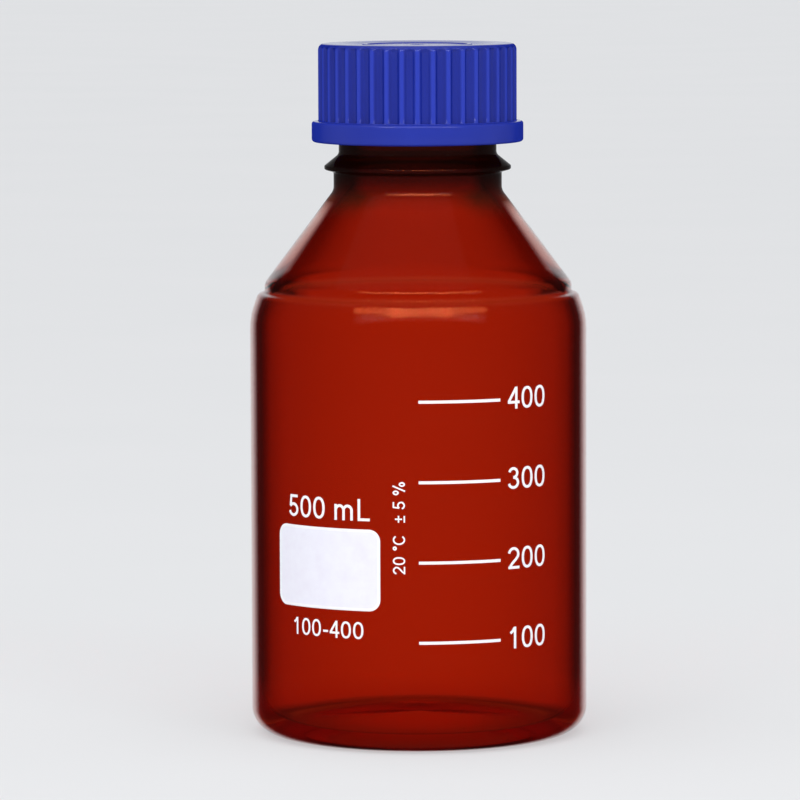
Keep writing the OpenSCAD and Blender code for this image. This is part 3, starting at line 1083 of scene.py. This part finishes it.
def make_panel():
    """Writing panel: a rounded area, with a thicker printed edge around it."""
    left = PANEL_MIDDLE - PANEL_W / 2
    right = PANEL_MIDDLE + PANEL_W / 2
    top = PANEL_Z + PANEL_H
    # The area ends under the printed edge, which covers its rim
    inset = PANEL_EDGE_W * PANEL_INSET
    radius = PANEL_CORNER_R - inset
    quarter = [math.radians(90) * i / PANEL_CORNER_STEPS for i in range(PANEL_CORNER_STEPS + 1)]
    lower = [(radius * (1 - math.cos(q)), radius * (1 - math.sin(q))) for q in quarter]
    levels = [(PANEL_Z + inset + rise, pull) for rise, pull in lower]
    levels += [(top - inset - rise, pull) for rise, pull in reversed(lower)]
    rows = []
    for z, pull in levels:
        start = left + inset + pull
        length = right - inset - pull - start
        rows.append([(start + length * i / PANEL_COLUMNS, z) for i in range(PANEL_COLUMNS + 1)])
    area = Print()
    area.area(rows)
    half = PANEL_EDGE_W / 2
    round_r = PANEL_CORNER_R - half
    path = rounded([
        (left + half, PANEL_Z + half, round_r),
        (right - half, PANEL_Z + half, round_r),
        (right - half, top - half, round_r),
        (left + half, top - half, round_r),
    ], PANEL_ARC_STEP)
    path = dense(path + path[:1], lambda p: PANEL_EDGE_SPACING)[:-1]
    edge = Print()
    # The edge lies on the thickest layer, so that it shows over the area
    edge.lift = STROKE_LEVELS - 2
    edge.stroke(path, PANEL_EDGE_W, closed=True)
    return area.made("panel_area"), edge.made("panel_edge")


def make_lines():
    """The level lines of the scale."""
    lines = Print()
    for i in range(SCALE_LINES):
        z = SCALE_Z + i * SCALE_STEP
        path = [(SCALE_LINE_W * k / SCALE_LINE_PARTS, z) for k in range(SCALE_LINE_PARTS + 1)]
        lines.stroke(path, SCALE_LINE_T)
    return lines.made("scale_lines")


def make_figures():
    """The figures of the scale and the plain values beside the panel."""
    figures = Print()
    for i in range(SCALE_LINES):
        feet = SCALE_Z + i * SCALE_STEP - FIGURE_H / 2 + FIGURE_RISE
        write(figures, str(100 * (i + 1)), FIGURE_H, upright(FIGURE_LEFT, feet))
    write(figures, "500 mL", FIGURE_H, upright(*VOLUME_PLACE))
    write(figures, "100-400", RANGE_H, upright(*RANGE_PLACE))
    write(figures, "20 °C  ± 5 %", CAPTION_H, climbing(*CAPTION_PLACE))
    return figures.made("scale_figures")


white = enamel("white_enamel", srgb(250, 249, 252), srgb(244, 242, 247))
panel_white = enamel("panel_enamel", srgb(241, 240, 250), srgb(236, 233, 245))
# The last colour of each plastic is the painted highlight of the crests, of which the band takes a
# share
cap_blue = moulded_plastic("cap_plastic", srgb(28, 44, 148), srgb(23, 37, 136), srgb(40, 58, 174))
ring_blue = moulded_plastic("ring_plastic", srgb(44, 66, 180), srgb(38, 58, 168), srgb(44, 66, 180))

glass = dress(make_glass(), amber_glass(), "bottle", "amber_glass", "bottle")
dress(make_pouring_ring(), ring_blue, "bottle", "ring_plastic", "pouring_ring")
disc = make_disc("seal_disc", DISC_Z, DISC_T, DISC_EDGE_R)
dress(disc, silicone(), "seal", "silicone", "sealing_disc")
facing = make_disc("seal_facing", RING_Z, FACING_T, FACING_EDGE_R)
dress(facing, facing_film(), "seal", "facing_film", "disc_facing")
dress(make_cap(), cap_blue, "cap", "cap_plastic", "screw_cap")
panel_area, panel_edge = make_panel()
dress(panel_area, panel_white, "bottle", "white_enamel", "writing_panel")
dress(panel_edge, white, "bottle", "white_enamel")
dress(make_lines(), white, "bottle", "white_enamel", "scale_lines_print")
dress(make_figures(), white, "bottle", "white_enamel")


# ---------------------------------------------------------------- floor, light and camera

def make_floor():
    """Wide flat floor, a hair under the bottle."""
    mesh = bmesh.new()
    bmesh.ops.create_grid(mesh, x_segments=FLOOR_TILES, y_segments=FLOOR_TILES, size=FLOOR_REACH)
    data = bpy.data.meshes.new("floor")
    mesh.to_mesh(data)
    mesh.free()
    floor = bpy.data.objects.new("floor", data)
    floor.location.z = -FLOOR_GAP * MM
    bpy.context.scene.collection.objects.link(floor)
    data.materials.append(floor_material())


def make_world():
    """Pale surroundings: brighter to the eye, to gloss and through glass than as a lamp."""
    world = bpy.data.worlds.new("pale_world")
    bpy.context.scene.world = world
    world.use_nodes = True
    tree = world.node_tree
    tree.nodes.clear()
    ambient = tree.nodes.new("ShaderNodeBackground")
    ambient.inputs["Color"].default_value = opaque(AMBIENT_COLOUR)
    ambient.inputs["Strength"].default_value = AMBIENT
    backdrop = tree.nodes.new("ShaderNodeBackground")
    backdrop.inputs["Color"].default_value = srgb(222, 225, 228)
    backdrop.inputs["Strength"].default_value = 1.0
    mix = tree.nodes.new("ShaderNodeMixShader")
    tree.links.new(seen_rays(tree), mix.inputs["Fac"])
    tree.links.new(ambient.outputs[0], mix.inputs[1])
    tree.links.new(backdrop.outputs[0], mix.inputs[2])
    out = tree.nodes.new("ShaderNodeOutputWorld")
    tree.links.new(mix.outputs[0], out.inputs["Surface"])


def softbox(name, azimuth, elevation, size, power, diffuse=True, gloss=True):
    """Soft lamp that faces the bottle, with its angles in degrees: an azimuth of 0 is in front,
    and 90 is to the right. It may be left out of matt light or out of gloss."""
    data = bpy.data.lights.new(name, "AREA")
    data.shape = "RECTANGLE"
    data.size, data.size_y = size
    data.energy = power
    lamp = bpy.data.objects.new(name, data)
    a = math.radians(azimuth)
    e = math.radians(elevation)
    outwards = Vector((math.cos(e) * math.sin(a), -math.cos(e) * math.cos(a), math.sin(e)))
    lamp.location = LAMP_AIM + LAMP_DISTANCE * outwards
    lamp.rotation_euler = outwards.to_track_quat("Z", "Y").to_euler()
    lamp.visible_diffuse = diffuse
    lamp.visible_glossy = gloss
    bpy.context.scene.collection.objects.link(lamp)
    return lamp


def show_in_first_gloss(lamp):
    """Keeps a lamp out of light that has met a matt surface or gone through glass."""
    lamp.use_nodes = True
    tree = lamp.node_tree
    path = tree.nodes.new("ShaderNodeLightPath")
    met = tree.nodes.new("ShaderNodeMath")
    met.operation = "ADD"
    tree.links.new(path.outputs["Diffuse Depth"], met.inputs[0])
    tree.links.new(path.outputs["Transmission Depth"], met.inputs[1])
    none = tree.nodes.new("ShaderNodeMath")
    none.operation = "LESS_THAN"
    none.inputs[1].default_value = 0.5  # the depths are whole numbers
    tree.links.new(met.outputs[0], none.inputs[0])
    tree.links.new(none.outputs[0], tree.nodes["Emission"].inputs["Strength"])


def ember_light(glass):
    """An arc of warm strips that only the gloss of the glass shows. They stand for the orange
    light that the real glass carries inside its shoulder."""
    receivers = bpy.data.collections.new("glass_only")
    receivers.objects.link(glass)
    for azimuth, width, power in ((-32, 0.8, 100), (2, 1.0, 170), (36, 0.8, 100)):
        size = (width, EMBER_H)
        strip = softbox(f"ember_{azimuth}", azimuth, EMBER_ELEVATION, size, power, diffuse=False)
        strip.data.color = EMBER_COLOUR
        show_in_first_gloss(strip.data)
        strip.light_linking.receiver_collection = receivers


def sky_lamp():
    """Broad soft light from above, the same all over the floor."""
    data = bpy.data.lights.new("overhead", "SUN")
    data.energy = SKY_POWER
    data.angle = math.radians(SKY_SPREAD)
    lamp = bpy.data.objects.new("overhead", data)
    lamp.rotation_euler = [math.radians(turn) for turn in SKY_TILT]
    bpy.context.scene.collection.objects.link(lamp)


def make_camera():
    """Camera of the photograph: slightly above the cap and looking a little down."""
    data = bpy.data.cameras.new("camera")
    data.sensor_fit = "HORIZONTAL"
    data.sensor_width = 36.0
    data.lens = CAMERA_LENS
    data.clip_end = 100.0
    camera = bpy.data.objects.new("camera", data)
    across = Vector((math.cos(CAMERA_YAW), -math.sin(CAMERA_YAW), 0))
    ahead = Vector((math.sin(CAMERA_YAW), math.cos(CAMERA_YAW), 0))
    look = math.cos(CAMERA_PITCH) * ahead + Vector((0, 0, -math.sin(CAMERA_PITCH)))
    above = across.cross(look)
    right = math.cos(CAMERA_ROLL) * across + math.sin(CAMERA_ROLL) * above
    up = -math.sin(CAMERA_ROLL) * across + math.cos(CAMERA_ROLL) * above
    turn = Matrix((right, up, -look)).transposed()
    camera.matrix_world = Matrix.Translation(CAMERA_PLACE) @ turn.to_4x4()
    bpy.context.scene.collection.objects.link(camera)
    bpy.context.scene.camera = camera


make_floor()
make_world()
make_camera()
sky_lamp()
softbox("left_box", azimuth=-34, elevation=28, size=(0.4, 0.12), power=1.6)
softbox("right_box", azimuth=38, elevation=28, size=(0.35, 0.12), power=1.6)
softbox("front_fill", azimuth=5, elevation=33, size=(2.2, 0.26), power=9, gloss=False)
softbox("front_strip", azimuth=2, elevation=33, size=(2.8, 0.34), power=12, diffuse=False)
ember_light(glass)
bpy.context.scene.view_settings.view_transform = "Standard"
